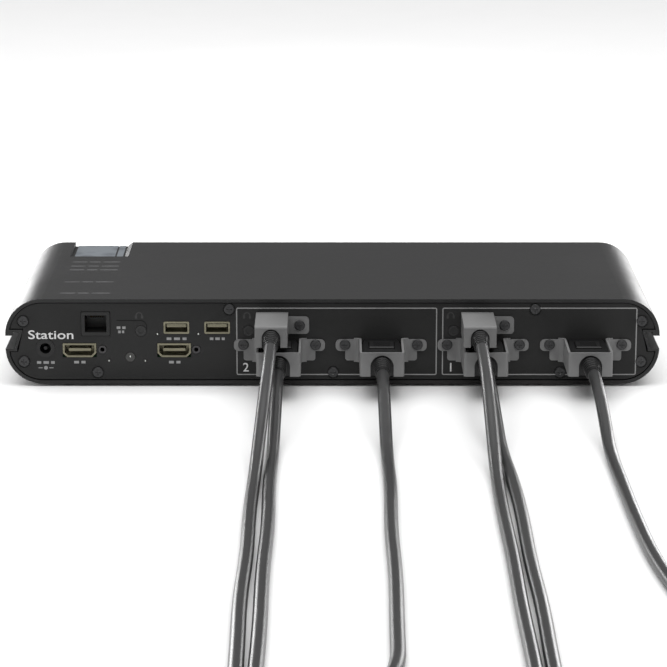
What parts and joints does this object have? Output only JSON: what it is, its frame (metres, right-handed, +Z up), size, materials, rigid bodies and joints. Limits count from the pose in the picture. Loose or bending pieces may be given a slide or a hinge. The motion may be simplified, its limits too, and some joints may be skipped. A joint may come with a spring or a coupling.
{
  "type": "kvm switch",
  "caption": "Low, wide desktop switch for screens, keyboard and sound, with rounded ends, side slots and locking brackets over its plugged leads.",
  "frame": {"origin": "on the surface the feet stand on, in the middle of the footprint from the locking brackets' front to the push buttons' faces", "axes": "+X along the connector panel, to the right as the panel is faced; +Y from the connector panel to the push buttons; +Z up"},
  "size_m": [0.3954, 0.861, 0.0506],
  "materials": {
    "case_paint": "dark satin powder coat",
    "panel_paint": "fine matt powder coat",
    "bezel_plastic": "fine matt texture",
    "foot_rubber": "dull",
    "black_screw": "black zinc",
    "seal_film": "silvery film",
    "board_laminate": "green solder mask",
    "plain_steel": "bright zinc",
    "chip_resin": "dull moulded",
    "holder_plastic": "moulded",
    "ribbon_film": "grey film",
    "blank_plastic": "moulded",
    "socket_metal": "warm tinned steel",
    "bush_metal": "dark nickel",
    "clear_pipe": "milky",
    "button_plastic": "moulded",
    "bracket_paint": "grey satin coat",
    "plug_plastic": "moulded, satin",
    "latch_plastic": "moulded",
    "cord_jacket": "satin jacket"
  },
  "bodies": {
    "case": {"top_shell": "case_paint", "bottom_shell": "case_paint", "rear_panel": "panel_paint", "front_bezel": "bezel_plastic", "rubber_feet": "foot_rubber", "panel_screws": "black_screw", "case_screws": "black_screw", "bracket_screws": "black_screw", "seal_label": "seal_film", "lower_board": "board_laminate", "upper_board": "board_laminate", "front_board": "board_laminate", "board_standoffs": "plain_steel", "board_screws": "plain_steel", "coin_cell": "plain_steel", "board_chips": "chip_resin", "tact_switches": "chip_resin", "coin_cell_holder": "holder_plastic", "remote_port": "holder_plastic", "dc_jack": "holder_plastic", "ribbon_cable": "ribbon_film", "audio_jacks": "blank_plastic", "console_video_sockets": "socket_metal", "usb_sockets": "socket_metal", "video_sockets": "socket_metal", "peripheral_sockets": "socket_metal", "lock_bushes": "bush_metal", "light_pipes": "clear_pipe", "video_bracket_1": "bracket_paint", "video_bracket_2": "bracket_paint", "video_bracket_3": "bracket_paint", "video_bracket_4": "bracket_paint", "peripheral_bracket_1": "bracket_paint", "peripheral_bracket_2": "bracket_paint", "video_plug_1": "plug_plastic", "video_plug_2": "plug_plastic", "video_plug_3": "plug_plastic", "video_plug_4": "plug_plastic", "peripheral_plug_1": "plug_plastic", "peripheral_plug_2": "plug_plastic", "far_video_plugs": "plug_plastic", "far_usb_plugs": "plug_plastic", "video_cord_1": "cord_jacket", "video_cord_2": "cord_jacket", "video_cord_3": "cord_jacket", "video_cord_4": "cord_jacket", "peripheral_cord_1": "cord_jacket", "peripheral_cord_2": "cord_jacket", "video_coil_1": "cord_jacket", "video_coil_2": "cord_jacket", "video_coil_3": "cord_jacket", "video_coil_4": "cord_jacket", "peripheral_coil_1": "cord_jacket", "peripheral_coil_2": "cord_jacket"},
    "port_button_1": {"port_button_1": "button_plastic"},
    "port_button_2": {"port_button_2": "button_plastic"},
    "latch_button_1": {"latch_button_1": "latch_plastic"},
    "latch_button_2": {"latch_button_2": "latch_plastic"},
    "latch_button_3": {"latch_button_3": "latch_plastic"},
    "latch_button_4": {"latch_button_4": "latch_plastic"}
  },
  "joints": [
    {"name": "port_button_1_press", "type": "slide", "parent": "case", "child": "port_button_1", "axis": [0, -1, 0], "range_m": [0, 0.0012], "stiffness_N_per_m": 400},
    {"name": "port_button_2_press", "type": "slide", "parent": "case", "child": "port_button_2", "axis": [0, -1, 0], "range_m": [0, 0.0012], "stiffness_N_per_m": 400},
    {"name": "latch_button_1_press", "type": "slide", "parent": "case", "child": "latch_button_1", "axis": [0, 0, -1], "range_m": [0, 0.0008], "stiffness_N_per_m": 400},
    {"name": "latch_button_2_press", "type": "slide", "parent": "case", "child": "latch_button_2", "axis": [0, 0, -1], "range_m": [0, 0.0008], "stiffness_N_per_m": 400},
    {"name": "latch_button_3_press", "type": "slide", "parent": "case", "child": "latch_button_3", "axis": [0, 0, -1], "range_m": [0, 0.0008], "stiffness_N_per_m": 400},
    {"name": "latch_button_4_press", "type": "slide", "parent": "case", "child": "latch_button_4", "axis": [0, 0, -1], "range_m": [0, 0.0008], "stiffness_N_per_m": 400}
  ]
}
